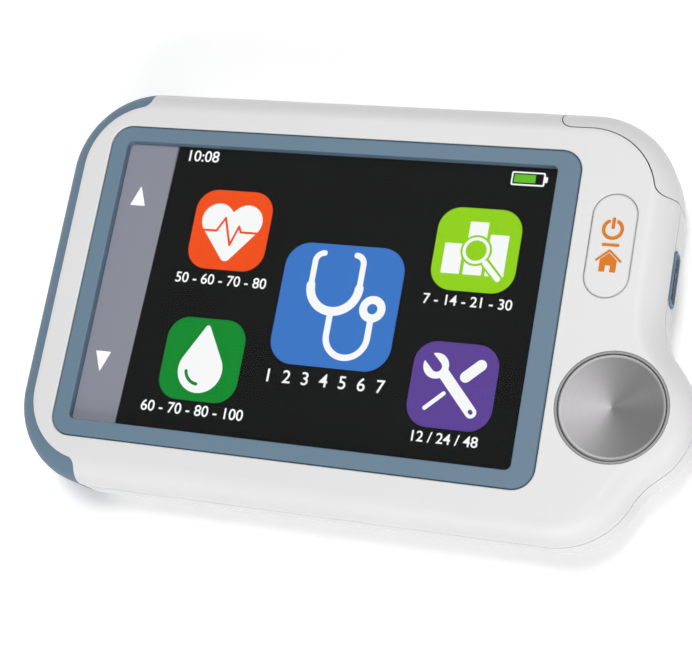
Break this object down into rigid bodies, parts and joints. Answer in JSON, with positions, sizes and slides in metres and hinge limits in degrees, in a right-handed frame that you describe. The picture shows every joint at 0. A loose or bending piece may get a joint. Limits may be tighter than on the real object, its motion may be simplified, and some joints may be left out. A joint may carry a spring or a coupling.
{
  "type": "pocket home health monitor",
  "caption": "Flat rounded pocket monitor for heart rhythm and blood oxygen, with touch screen, home key, thumb electrode and a sprung corner finger clip.",
  "frame": {"origin": "middle of the back face, on the surface that the monitor lies on", "axes": "+X along the screen towards the thumb bump, +Y towards the screen's top edge, +Z out of the screen"},
  "size_m": [0.0914, 0.0562, 0.013],
  "materials": {
    "shell_plastic": "fine satin moulded ABS",
    "slate_plastic": "satin moulded ABS",
    "electrode_steel": "turned and brushed stainless steel",
    "lens_glass": "clear polished touch lens",
    "strip_film": "printed film",
    "white_ink": "printed ink",
    "orange_ink": "printed ink",
    "dark_rubber": "matt silicone and foam",
    "display_black": "display panel",
    "tray_plastic": "moulded backlight tray",
    "sheet_steel": "tinned sheet steel",
    "cable_film": "polyimide flat cable",
    "black_plastic": "moulded black nylon",
    "contact_brass": "gold-plated brass",
    "red_window": "dark red clear acrylic",
    "pin_steel": "bright stainless steel",
    "board_laminate": "green circuit board",
    "battery_foil": "lithium polymer pouch foil"
  },
  "bodies": {
    "case": {"front_shell": "shell_plastic", "rear_shell": "shell_plastic", "left_band": "slate_plastic", "left_electrode": "electrode_steel", "screen_bezel": "slate_plastic", "touch_lens": "lens_glass", "scroll_strip": "strip_film", "scroll_arrows": "white_ink", "display_gasket": "dark_rubber", "display_glass": "display_black", "backlight_tray": "tray_plastic", "display_holder": "sheet_steel", "display_cable": "cable_film", "key_switch": "black_plastic", "thumb_electrode": "electrode_steel", "thumb_gasket": "dark_rubber", "thumb_contact": "contact_brass", "rear_electrode": "electrode_steel", "rear_contact": "contact_brass", "hinge_pin": "pin_steel", "clip_spring": "pin_steel", "finger_bed": "dark_rubber", "sensor_window": "red_window", "sensor_board": "board_laminate", "port_surround": "slate_plastic", "port_socket": "pin_steel", "port_tongue": "black_plastic", "main_board": "board_laminate", "shield_can": "sheet_steel", "battery": "battery_foil", "battery_tape": "dark_rubber", "speaker": "black_plastic", "speaker_foam": "dark_rubber", "case_screws": "pin_steel", "strap_bar": "pin_steel"},
    "key": {"home_key": "shell_plastic", "key_symbols": "orange_ink", "switch_plunger": "black_plastic"},
    "clip": {"finger_clip": "shell_plastic", "clip_pad": "dark_rubber", "light_window": "red_window"}
  },
  "joints": [
    {"name": "key_press", "type": "slide", "parent": "case", "child": "key", "axis": [0, 0, -1], "range_m": [0, 0.0004], "stiffness_N_per_m": 1000},
    {"name": "clip_hinge", "type": "hinge", "parent": "case", "child": "clip", "pos_m": [0.02555, 0.027, 0.0065], "axis": [0, 0, 1], "range_deg": [0, 40], "stiffness_Nm_per_rad": 0.01}
  ]
}
